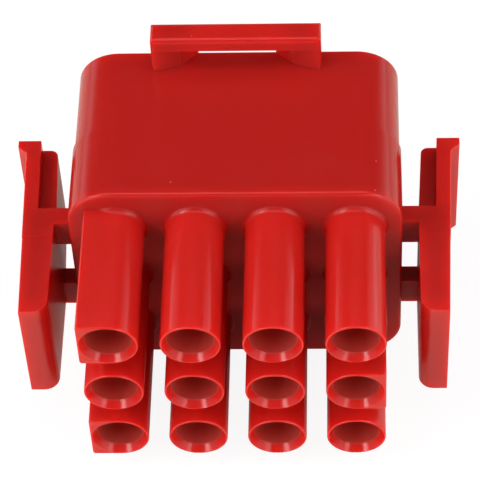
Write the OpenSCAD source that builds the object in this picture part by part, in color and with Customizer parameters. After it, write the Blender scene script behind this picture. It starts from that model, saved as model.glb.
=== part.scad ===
// Empty cable plug housing, moulded in one piece.
// X runs across the contact columns, Y from the mating side to the wire side, Z is up.
// The origin is under the middle of the bounding box, on the plane of the underside.

/* [Contact grid] */
// Number of contact columns
columns = 4; // [2:1:6]
// Number of contact rows
rows = 3; // [2:1:5]
// Distance between contact centres
pitch = 6.35; // [6:0.05:8]

/* [Contact cavities] */
// Bore that holds a contact
bore_d = 3.76; // [3:0.02:4.2]
// Depth of the lead-in cone at the tip of a silo
mouth_depth = 0.65; // [0.4:0.05:2]
// Shoulder between the bore and the counterbore for the crimped wire
shoulder_w = 0.35; // [0.2:0.05:0.6]
// Depth of the counterbore from the wire face
entry_depth = 8; // [3:0.5:10]
// Chamfer of the counterbore at the wire face
entry_chamfer = 0.3; // [0.1:0.05:0.5]

/* [Silos] */
// Wall of a silo around its bore
silo_wall = 0.48; // [0.4:0.02:0.8]
// Flat rim left around the lead-in cone
rim_w = 0.14; // [0.14:0.02:0.32]
// Rounding of a silo's tip
tip_r = 0.12; // [0.05:0.01:0.12]
// Length of a silo ahead of the front face
silo_len = 11.5; // [8:0.05:16]
// Fillet where a silo leaves the front face
root_r = 0.45; // [0.1:0.05:0.6]
// Rounding of the long corners of a square key half
key_r = 0.25; // [0.25:0.05:0.6]

/* [Body] */
// Wall outside the outer silos at each side
side_margin = 1.38; // [1.1:0.01:3]
// Wall above and below the outer silos
top_margin = 1.78; // [1.1:0.01:4]
// Depth from the front face to the wire face
body_d = 15; // [12:0.1:24]
// Radius of the four long corners
corner_r = 3.45; // [1.5:0.05:4]
// Rounding of the rim around the front face
front_r = 0.25; // [0.1:0.05:0.6]
// Rounding of the rim around the wire face
rear_r = 0.2; // [0.1:0.05:0.8]
// Amount by which each side is set in behind the parting step
side_step = 0.15; // [0.05:0.01:0.4]
// Distance of the parting step from the front face
step_y = 7; // [4:0.1:10]

/* [Latches] */
// Clear gap between the body's side and a latch
latch_gap = 1.34; // [0.8:0.01:2.5]
// Height of a latch
latch_h = 10.75; // [8:0.05:14]
// Thickness of a latch at its nose
latch_t = 2.28; // [1.8:0.02:3]
// Reach of the nose ahead of the front face
latch_front = 7.46; // [4:0.02:10]
// Reach of the thumb plate behind the front face
latch_rear = 9.92; // [7:0.02:11]
// Angle at which the outer face spreads toward the wire side
latch_toe = 1.7; // [0:0.1:3]
// Rounding of the outer face's upper and lower edges
latch_edge_r = 0.12; // [0.06:0.02:0.8]
// Amount by which the nose is set in ahead of the front face, at its outer face, top and bottom
nose_step = 0.03; // [0.02:0.01:0.2]
// Rounding of the nose where it rides over the catch
nose_r = 1.15; // [0.4:0.05:1.6]
// Thickness of the thumb plate
plate_t = 1.2; // [0.8:0.05:1.6]
// Amount by which the stop rib is lower than the thumb plate, at top and bottom
rib_drop = 1.26; // [0.4:0.02:2]
// Angle at which the stop rib leans away from the body
rib_toe = 2.8; // [0:0.1:4]
// Rounding of the stop rib's rear corner
rib_r = 0.6; // [0.2:0.05:0.9]
// Amount by which the thumb lip stands out
lip_out = 0.7; // [0.3:0.05:1.5]
// Length of the thumb lip
lip_len = 0.62; // [0.4:0.01:1.2]
// Length of the ramp up to the thumb lip
lip_ramp = 0.63; // [0.2:0.01:1.5]

/* [Webs] */
// Distance of the webs behind the front face
web_y = 1.3; // [0.8:0.05:3]
// Depth of a web
web_d = 1.55; // [0.8:0.05:2.5]
// Height of a web
web_h = 2.75; // [1.5:0.05:4]

/* [Bridge] */
// Width of the bridge
bridge_w = 13.76; // [10:0.02:18]
// Depth of the bridge from the wire face
bridge_d = 2.05; // [1.2:0.05:3]
// Height of the bridge above the body
bridge_h = 3.52; // [2.5:0.02:6]
// Thickness of the bar
bar_t = 1.2; // [0.7:0.05:1.6]
// Width of the window at the wire face
window_w = 6.3; // [4:0.1:9]
// Radius of the bridge's upper corners and front corners
bridge_r = 0.4; // [0.2:0.05:0.8]
// Rounding of the bar's upper edges
bar_r = 0.35; // [0.1:0.05:0.5]

/* [Hidden] */
$fn = 96;
red = [0.75, 0.11, 0.1];
silo_d = bore_d + 2 * silo_wall;
silo_r = silo_d / 2;
mouth_r = silo_r - rim_w;
entry_r = bore_d / 2 + shoulder_w;
body_w = (columns - 1) * pitch + silo_d + 2 * side_margin;
body_h = (rows - 1) * pitch + silo_d + 2 * top_margin;
rear_w = body_w - 2 * side_step;
mid_z = body_h / 2;
// The front face sits where the bounding box is centred on Y.
face_y = (silo_len - body_d) / 2;
latch_in = body_w / 2 + latch_gap;
latch_z = latch_h / 2;
rib_z = latch_z - rib_drop;
web_back = web_y + web_d;
bury = 0.6;
root_sink = 0.02;
bridge_top = mid_z + bridge_h;
bridge_front = body_d - bridge_d;
leg_w = (bridge_w - window_w) / 2;
// Radius of the rounded leg that meets the front of the bridge and the edge of the window.
leg_r = (leg_w * leg_w + bridge_d * bridge_d) / (2 * bridge_d);
// Keyed silos, as [column, row, side of the square half], with the top row first.
keyed = [[0, 0, -1], [0, rows - 1, -1], [columns - 1, 1, 1]];

function column_x(c) = (c - (columns - 1) / 2) * pitch;
function row_z(r) = ((rows - 1) / 2 - r) * pitch;
function latch_out(y) = latch_in + latch_t + (y + latch_front) * tan(latch_toe);
function rib_in(y) = latch_in + (y - web_back) * tan(rib_toe);

// Turns a shape drawn along Z so that it runs along Y toward the wire side.
module along_y() {
    rotate([-90, 0, 0])
        children();
}

module rounded_rect(w, h, r) {
    square([w - 2 * r, h], center = true);
    square([w, h - 2 * r], center = true);
    for (sx = [-1, 1])
        for (sy = [-1, 1])
            translate([sx * (w / 2 - r), sy * (h / 2 - r)])
                circle(r);
}

// Half of a bar's outline: flat at its far end, rounded at the near outer corner.
module rounded_half(w, d, e) {
    translate([0, e])
        square([w, d - e]);
    square([w - e, d]);
    translate([w - e, e])
        circle(e);
}

module rounded_outline(w, d, e) {
    rounded_half(w / 2, d, e);
    mirror([1, 0])
        rounded_half(w / 2, d, e);
}

// Block with round long corners and one rounded rim, from the rim at 0 to the depth d.
module rimmed_block(w, h, d, r, e) {
    along_y() {
        for (sx = [-1, 1])
            for (sy = [-1, 1])
                translate([sx * (w / 2 - r), sy * (h / 2 - r), 0])
                    rotate_extrude()
                        rounded_half(r, d, e);
    }
    translate([0, 0, r - h / 2])
        linear_extrude(h - 2 * r)
            rounded_outline(w, d, e);
    translate([r - w / 2, 0, 0])
        rotate([0, 90, 0])
            linear_extrude(w - 2 * r)
                rounded_outline(h, d, e);
}

module body() {
    rimmed_block(body_w, body_h, step_y, corner_r, front_r);
    translate([0, body_d, 0])
        mirror([0, 1, 0])
            rimmed_block(rear_w, body_h, body_d - front_r - bury, corner_r, rear_r);
}

// One silo with its root fillet and rounded tip, from the front face along -Y.
module silo() {
    tip = silo_len + root_sink;
    rotate([90, 0, 0])
        translate([0, 0, -root_sink])
            rotate_extrude()
                difference() {
                    translate([0, -bury])
                        square([silo_r + root_r, tip + bury - tip_r]);
                    translate([silo_r + root_r, root_r])
                        circle(root_r);
                    translate([silo_r, root_r])
                        square([2 * root_r, silo_len]);
                }
    translate([0, -silo_len, 0])
        along_y()
            rotate_extrude()
                rounded_half(silo_r, silo_len, tip_r);
}

// The square half that keys a silo.
module key_half(side) {
    intersection() {
        translate([0, -silo_len, 0])
            rimmed_block(silo_d, silo_d, silo_len + bury, key_r, tip_r);
        translate([side > 0 ? 0 : -silo_d, -silo_len - bury, -silo_d])
            cube([silo_d, silo_len + 2 * bury, 2 * silo_d]);
    }
}

module silos() {
    for (c = [0 : columns - 1])
        for (r = [0 : rows - 1])
            translate([column_x(c), 0, row_z(r)])
                silo();
    for (k = keyed)
        translate([column_x(k[0]), 0, row_z(k[1])])
            key_half(k[2]);
}

// Space of one contact cavity, from the mouth at the tip to the wire face.
module cavity() {
    length = silo_len + body_d;
    shoulder = length - entry_depth;
    translate([0, -silo_len, 0])
        along_y()
            rotate_extrude()
                polygon([
                    [0, -bury],
                    [mouth_r, -bury],
                    [mouth_r, 0],
                    [bore_d / 2, mouth_depth],
                    [bore_d / 2, shoulder],
                    [entry_r, shoulder],
                    [entry_r, length - entry_chamfer],
                    [entry_r + entry_chamfer, length],
                    [entry_r + entry_chamfer, length + bury],
                    [0, length + bury]
                ]);
}

module cavities() {
    for (c = [0 : columns - 1])
        for (r = [0 : rows - 1])
            translate([column_x(c), 0, row_z(r)])
                cavity();
}

// Plan of a latch without its lip: the nose bar and the thumb plate, left long at the outer face.
module latch_plan() {
    translate([latch_in + nose_r, nose_r - latch_front])
        circle(nose_r);
    polygon([
        [latch_in, nose_r - latch_front],
        [latch_in + nose_r, nose_r - latch_front],
        [latch_in + nose_r, -latch_front],
        [latch_out(-latch_front) + bury, -latch_front],
        [latch_out(latch_rear) + bury, latch_rear],
        [latch_out(latch_rear) - plate_t, latch_rear],
        [latch_out(web_back) - plate_t, web_back],
        [latch_in, web_back]
    ]);
}

// Bar that gives a latch its leaning outer face with rounded edges, from y along the face.
module latch_bar(y, length, inset) {
    translate([latch_out(0), 0, 0])
        rotate([0, 0, -latch_toe])
            translate([-inset, y + length, 0])
                rotate([0, -90, 90])
                    linear_extrude(length)
                        rounded_outline(latch_h - 2 * inset, 2 * latch_t, latch_edge_r);
}

// Plan of the thumb lip and its ramp.
module lip_plan() {
    lip_y = latch_rear - lip_len;
    ramp_y = lip_y - lip_ramp;
    lip_x = latch_out(ramp_y) + lip_out;
    polygon([
        [latch_out(ramp_y) - plate_t / 2, ramp_y],
        [latch_out(ramp_y), ramp_y],
        [lip_x, lip_y],
        [lip_x, latch_rear],
        [latch_out(latch_rear) - plate_t / 2, latch_rear]
    ]);
}

// Plan of the stop rib inside the thumb plate.
module rib_plan() {
    corner_y = latch_rear - rib_r;
    translate([rib_in(corner_y) + rib_r, corner_y])
        circle(rib_r);
    polygon([
        [latch_in, web_back - bury],
        [latch_in, web_back],
        [rib_in(corner_y), corner_y],
        [rib_in(corner_y) + rib_r, corner_y],
        [rib_in(corner_y) + rib_r, latch_rear],
        [latch_out(latch_rear) - plate_t / 2, latch_rear],
        [latch_out(web_back) - plate_t / 2, web_back - bury]
    ]);
}

// One latch with the two webs that carry it, on the +X side.
module latch() {
    intersection() {
        translate([0, 0, -latch_z - bury])
            linear_extrude(latch_h + 2 * bury)
                latch_plan();
        union() {
            latch_bar(0, 2 * latch_rear, 0);
            latch_bar(-2 * latch_front, 2 * latch_front + bury, nose_step);
        }
    }
    translate([0, 0, -latch_z])
        linear_extrude(latch_h)
            lip_plan();
    translate([0, 0, -rib_z])
        linear_extrude(2 * rib_z)
            rib_plan();
    for (z = [-latch_z, latch_z - web_h])
        translate([body_w / 2 - bury, web_y, z])
            cube([latch_gap + 2 * bury, web_d, web_h]);
}

// Bridge on the rear edge of the top: a straight bar on two legs with rounded inner corners.
module bridge() {
    bar_z = bridge_top - bar_t;
    intersection() {
        union() {
            translate([-bridge_w / 2, bridge_front, bar_z])
                cube([bridge_w, bridge_d, bar_t]);
            for (s = [-1, 1])
                intersection() {
                    translate([s > 0 ? window_w / 2 : -bridge_w / 2, bridge_front, mid_z - bury])
                        cube([leg_w, bridge_d, bridge_h + bury]);
                    translate([s * bridge_w / 2, bridge_front + leg_r, mid_z - bury])
                        cylinder(h = bridge_h + bury, r = leg_r);
                }
        }
        translate([0, body_d, mid_z])
            rotate([90, 0, 0])
                linear_extrude(bridge_d)
                    rounded_rect(bridge_w, 2 * bridge_h, bridge_r);
        translate([-bridge_w / 2, body_d - bridge_d / 2, mid_z])
            rotate([90, 0, 90])
                linear_extrude(bridge_w)
                    rounded_rect(bridge_d, 2 * bridge_h, bar_r);
        translate([0, body_d, mid_z - bury])
            linear_extrude(bridge_h + bury)
                rounded_rect(bridge_w, 2 * bridge_d, bridge_r);
    }
}

module housing() {
    color(red)
        translate([0, face_y, mid_z])
            difference() {
                union() {
                    body();
                    silos();
                    latch();
                    mirror([1, 0, 0])
                        latch();
                    bridge();
                }
                cavities();
            }
}

housing();
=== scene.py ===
import math

import bpy
from mathutils import Matrix, Vector


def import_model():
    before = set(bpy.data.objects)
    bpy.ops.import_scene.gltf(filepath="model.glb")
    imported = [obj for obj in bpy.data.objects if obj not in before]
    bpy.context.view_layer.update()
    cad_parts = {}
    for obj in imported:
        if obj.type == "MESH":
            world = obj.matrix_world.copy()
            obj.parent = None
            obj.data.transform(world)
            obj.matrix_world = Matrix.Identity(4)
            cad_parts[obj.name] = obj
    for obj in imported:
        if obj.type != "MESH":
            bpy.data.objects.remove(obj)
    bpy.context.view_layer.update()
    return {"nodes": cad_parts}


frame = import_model()
scene = bpy.context.scene
housing = frame["nodes"]["housing"]

MM = 0.001

# The photo's camera: angles in degrees, lengths in millimetres.
CAM_AZ, CAM_EL, CAM_ROLL = -4.104, 52.11, -3.59
CAM_DISTANCE = 204.6
CAM_TARGET = (0.337, -1.75, 15.208)
CAM_LENS, CAM_SENSOR = 192.4, 36
CAM_NEAR, CAM_FAR = 10, 20000

# Softboxes: azimuth from the front, elevation, distance, width and height in millimetres, power in watts.
LAMP_AIM = (0, -2, 12)
LAMPS = {
    "key_left": (-69, 47, 330, 250, 90, 0.48),
    "key_right": (70, 44, 330, 250, 90, 0.24),
    "side_left": (-95, 22, 330, 400, 250, 0.20),
    "side_right": (95, 22, 330, 400, 250, 0.33),
    "front_left": (-40, 14, 330, 300, 200, 0.38),
    "front_right": (40, 14, 330, 300, 200, 0.29),
    "overhead": (180, 84, 330, 300, 300, 0.36),
}

# The room is dim, with a pale backdrop behind the part that fades upward and round the sides.
ROOM_DIM, BACKDROP = 0.03, 1.2
BACKDROP_UP, BACKDROP_BACK = (0.4, 0.0), (-0.1, 0.3)

# The floor: its colour for light, its colour and glow for the camera, and the camera's share in reflections.
FLOOR_HALF, FLOOR_ROUGH = 4000, 0.9
FLOOR_LIT, FLOOR_SEEN, FLOOR_GLOW = (0.86, 0.81, 0.70), (0.14, 0.14, 0.14), 0.9
FLOOR_MIRRORED = 0.12

# Red nylon: linear colours of thick walls; of thin walls, edges and the silos' tips, painted lighter as a
# painted glow that stands in for light through the nylon; of the bores, a duller and greyer red that is
# painted shade; and of dust.
RED_THICK, RED_PAINTED_GLOW = (0.50, 0.0145, 0.0112), (0.64, 0.0175, 0.0132)
RED_BORE_SHADE = (0.54, 0.058, 0.042)
DUST = (0.66, 0.16, 0.13)
# The wall that counts as thin, where the colour takes the painted glow, and light's way in the nylon in
# millimetres, and that way's share by colour.
THIN, DEPTH, DEPTH_RGB = 1.5, 1.1, (1.0, 0.16, 0.09)
# Gloss, and the roughness of plain faces, of the latches' inner faces, and of the front face and the bores.
IOR, SPECULAR = 1.53, 0.35
SMOOTH, INNER, SATIN = 0.17, 0.3, 0.5
# Scale of the patterns, and the height of waves and grain in millimetres.
DUST_SCALE, CLOUD_SCALE, SHEEN_SCALE = 620, 170, 420
WAVE_SCALE, WAVE_HEIGHT = 700, 0.004
GRAIN_SCALE, GRAIN_HEIGHT = 5000, 0.0008

# Places on the part in millimetres: just ahead of the front face, the silos' tips, the latches' inner faces.
FRONT_Y, TIP_Y, INNER_X = -2.2, -13.2, 13.5
# The contact grid in millimetres: pitch, middle height, bore radius, half width, top and edge.
PITCH, MID_Z, BORE_R = 6.35, 10.49, 1.88
GRID_X, GRID_TOP, GRID_EDGE = 2 * PITCH, MID_Z + 1.5 * PITCH, 0.05


def camera():
    """The photo's camera: a long lens in front of the part, looking down at 52 degrees."""
    az, el, roll = (math.radians(a) for a in (CAM_AZ, CAM_EL, CAM_ROLL))
    back = Vector((-math.sin(az) * math.cos(el), -math.cos(az) * math.cos(el), math.sin(el)))
    side = (-back).cross(Vector((0, 0, 1))).normalized()
    rise = side.cross(-back)
    right = math.cos(roll) * side + math.sin(roll) * rise
    up = -math.sin(roll) * side + math.cos(roll) * rise
    data = bpy.data.cameras.new("camera")
    data.sensor_width = CAM_SENSOR
    data.lens = CAM_LENS
    data.clip_start, data.clip_end = CAM_NEAR * MM, CAM_FAR * MM
    cam = bpy.data.objects.new("camera", data)
    turn = Matrix((right, up, back)).transposed().to_4x4()
    cam.matrix_world = Matrix.Translation((Vector(CAM_TARGET) + CAM_DISTANCE * back) * MM) @ turn
    scene.collection.objects.link(cam)
    scene.camera = cam


def lamp(name, azimuth, elevation, distance, width, height, watts):
    """A softbox that faces the part, with its width level."""
    az, el = math.radians(azimuth), math.radians(elevation)
    towards = Vector((math.sin(az) * math.cos(el), -math.cos(az) * math.cos(el), math.sin(el)))
    data = bpy.data.lights.new(name, "AREA")
    data.shape = "RECTANGLE"
    data.size = width * MM
    data.size_y = height * MM
    data.energy = watts
    obj = bpy.data.objects.new(name, data)
    obj.location = (Vector(LAMP_AIM) + distance * towards) * MM
    obj.rotation_mode = "QUATERNION"
    obj.rotation_quaternion = (-towards).to_track_quat("-Z", "Y")
    scene.collection.objects.link(obj)


class Nodes:
    """Adds nodes to a tree. An input takes a number, a colour, a vector or another node's output."""

    def __init__(self, tree):
        self.tree = tree

    def add(self, kind, inputs=None, **settings):
        """One node of a kind; gives back its outputs."""
        node = self.tree.nodes.new("ShaderNode" + kind)
        for key, value in settings.items():
            setattr(node, key, value)
        for key, value in (inputs or {}).items():
            if isinstance(value, bpy.types.NodeSocket):
                self.tree.links.new(value, node.inputs[key])
            else:
                node.inputs[key].default_value = value
        return node.outputs

    def math(self, operation, *values):
        return self.add("Math", dict(enumerate(values)), operation=operation)[0]

    def vector(self, operation, *values):
        return self.add("VectorMath", dict(enumerate(values)), operation=operation)

    def ramp(self, value, low, high, start=0.0, end=1.0, **settings):
        """Takes a value between low and high to one between start and end."""
        return self.add("MapRange", {"Value": value, "From Min": low, "From Max": high,
                                     "To Min": start, "To Max": end}, **settings)["Result"]

    def mix(self, factor, a, b):
        """Two numbers mixed."""
        return self.add("Mix", {0: factor, 2: a, 3: b}, data_type="FLOAT")[0]

    def blend(self, factor, a, b):
        """Two colours mixed."""
        a, b = ((*c, 1) if isinstance(c, tuple) else c for c in (a, b))
        return self.add("Mix", {0: factor, 6: a, 7: b}, data_type="RGBA")[2]

    def link(self, value, shader, socket):
        self.tree.links.new(value, shader.inputs[socket])


def world():
    """A dim room with a pale backdrop behind the part."""
    room = bpy.data.worlds.new("studio")
    scene.world = room
    room.use_nodes = True
    background = room.node_tree.nodes["Background"]
    n = Nodes(room.node_tree)
    way = n.add("SeparateXYZ", {0: n.add("TexCoord")["Generated"]})
    low = n.ramp(way["Z"], *BACKDROP_UP, interpolation_type="SMOOTHSTEP")
    behind = n.ramp(way["Y"], *BACKDROP_BACK, interpolation_type="SMOOTHSTEP")
    level = n.ramp(n.math("MULTIPLY", low, behind), 0.0, 1.0, ROOM_DIM, BACKDROP)
    n.link(level, background, "Strength")
    background.inputs["Color"].default_value = (1, 1, 1, 1)


def floor():
    """A wide white floor. The camera sees it lit evenly, with the part's faint shadow."""
    r = FLOOR_HALF * MM
    mesh = bpy.data.meshes.new("floor")
    mesh.from_pydata([(-r, -r, 0), (r, -r, 0), (r, r, 0), (-r, r, 0)], [], [(0, 1, 2, 3)])
    obj = bpy.data.objects.new("floor", mesh)
    scene.collection.objects.link(obj)
    material = bpy.data.materials.new("floor")
    material.use_nodes = True
    shader = material.node_tree.nodes["Principled BSDF"]
    shader.inputs["Roughness"].default_value = FLOOR_ROUGH
    shader.inputs["Specular IOR Level"].default_value = 0.0
    shader.inputs["Emission Color"].default_value = (1, 1, 1, 1)
    n = Nodes(material.node_tree)
    ray = n.add("LightPath")
    mirrored = n.math("MAXIMUM", ray["Is Glossy Ray"], ray["Is Transmission Ray"])
    seen = n.math("MAXIMUM", ray["Is Camera Ray"], n.math("MULTIPLY", mirrored, FLOOR_MIRRORED))
    n.link(n.blend(seen, FLOOR_LIT, FLOOR_SEEN), shader, "Base Color")
    n.link(n.ramp(seen, 0.0, 1.0, 0.0, FLOOR_GLOW), shader, "Emission Strength")
    mesh.materials.append(material)


def red_nylon():
    """Translucent glossy nylon: cloudy colour, a painted glow on thin walls, edges and tips, painted shade
    in the bores, uneven gloss, satin faces, fine waviness and dust.
    """
    material = bpy.data.materials.new("red_nylon")
    material.use_nodes = True
    n = Nodes(material.node_tree)
    point = n.add("TexCoord")["Object"]
    at = n.add("SeparateXYZ", {0: point})
    facing = n.add("SeparateXYZ", {0: n.add("NewGeometry")["Normal"]})

    def noise(scale, detail):
        return n.add("TexNoise", {"Vector": point, "Scale": scale, "Detail": detail})["Fac"]

    # Dust: a speck in some cells of a fine pattern, on faces that look up.
    cells = n.add("TexVoronoi", {"Vector": point, "Scale": DUST_SCALE})
    chance = n.add("SeparateColor", {0: cells["Color"]})["Red"]
    speck = n.math("MULTIPLY", n.ramp(cells["Distance"], 0.03, 0.06, 1.0, 0.0), n.ramp(chance, 0.72, 0.80))
    dust = n.math("MULTIPLY", speck, n.ramp(facing["Z"], 0.6, 0.9))

    # The front face, and the latches' faces toward the body.
    front = n.math("MULTIPLY", n.ramp(facing["Y"], -0.95, -0.8, 1.0, 0.0),
                   n.ramp(at["Y"], FRONT_Y * MM, (FRONT_Y + 0.1) * MM))
    inward = n.ramp(n.math("MULTIPLY", at["X"], facing["X"]), -0.9 * INNER_X * MM, -INNER_X * MM)

    # The bores, for their painted shade and their satin: close to the axis of a square of the contact grid,
    # and inside that grid.
    half = PITCH * MM / 2
    square = n.vector("SUBTRACT", point, (half, 0, MID_Z * MM))[0]
    square = n.vector("WRAP", square, (half, 1, half), (-half, -1, -half))[0]
    radius = n.vector("LENGTH", n.vector("MULTIPLY", square, (1, 0, 1))[0])["Value"]
    across = n.math("ABSOLUTE", at["X"])
    bore = n.ramp(radius, (BORE_R + 0.01) * MM, (BORE_R + 0.03) * MM, 1.0, 0.0)
    bore = n.math("MULTIPLY", bore, n.ramp(across, GRID_X * MM, (GRID_X + GRID_EDGE) * MM, 1.0, 0.0))
    bore = n.math("MULTIPLY", bore, n.ramp(at["Z"], GRID_TOP * MM, (GRID_TOP + GRID_EDGE) * MM, 1.0, 0.0))

    # Colour: a painted glow, lighter where the wall is thin, at edges and toward the silos' tips, stands in
    # for light passing through the nylon; deeper where the wall is thick; with faint clouds of random tone.
    thick = n.add("AmbientOcclusion", {"Distance": THIN * MM}, inside=True, samples=8)["AO"]
    tip_glow = n.ramp(at["Y"], TIP_Y * MM, FRONT_Y * MM, 0.85, 1.15)
    cloud = n.ramp(noise(CLOUD_SCALE, 3.0), 0.3, 0.7, -0.12, 0.12)
    glow_and_cloud = n.math("MULTIPLY_ADD", thick, tip_glow, cloud)
    red = n.blend(n.ramp(glow_and_cloud, 1.0, 0.45), RED_THICK, RED_PAINTED_GLOW)
    # Painted shade: the bores take a duller, greyer red, as if in shadow.
    red = n.blend(bore, red, RED_BORE_SHADE)
    red = n.blend(dust, red, DUST)

    # Gloss and surface: an uneven sheen, satin faces, slow waves and a fine grain.
    sheen = n.ramp(noise(SHEEN_SCALE, 4.0), 0.25, 0.75, SMOOTH - 0.03, SMOOTH + 0.05)
    rough = n.mix(inward, sheen, INNER)
    rough = n.mix(n.math("MAXIMUM", front, bore), rough, SATIN)
    wave = n.add("Bump", {"Height": noise(WAVE_SCALE, 2.0), "Strength": 1.0,
                          "Distance": WAVE_HEIGHT * MM})["Normal"]
    grain = n.add("Bump", {"Height": noise(GRAIN_SCALE, 2.0), "Strength": 1.0,
                           "Distance": GRAIN_HEIGHT * MM, "Normal": wave})["Normal"]

    shader = material.node_tree.nodes["Principled BSDF"]
    n.link(red, shader, "Base Color")
    n.link(rough, shader, "Roughness")
    n.link(grain, shader, "Normal")
    shader.inputs["IOR"].default_value = IOR
    shader.inputs["Specular IOR Level"].default_value = SPECULAR
    shader.inputs["Subsurface Weight"].default_value = 1.0
    shader.inputs["Subsurface Radius"].default_value = DEPTH_RGB
    shader.inputs["Subsurface Scale"].default_value = DEPTH * MM
    return material


camera()
for name, values in LAMPS.items():
    lamp(name, *values)
world()
floor()

housing.data.materials.clear()
housing.data.materials.append(red_nylon())

scene.view_settings.view_transform = "Standard"
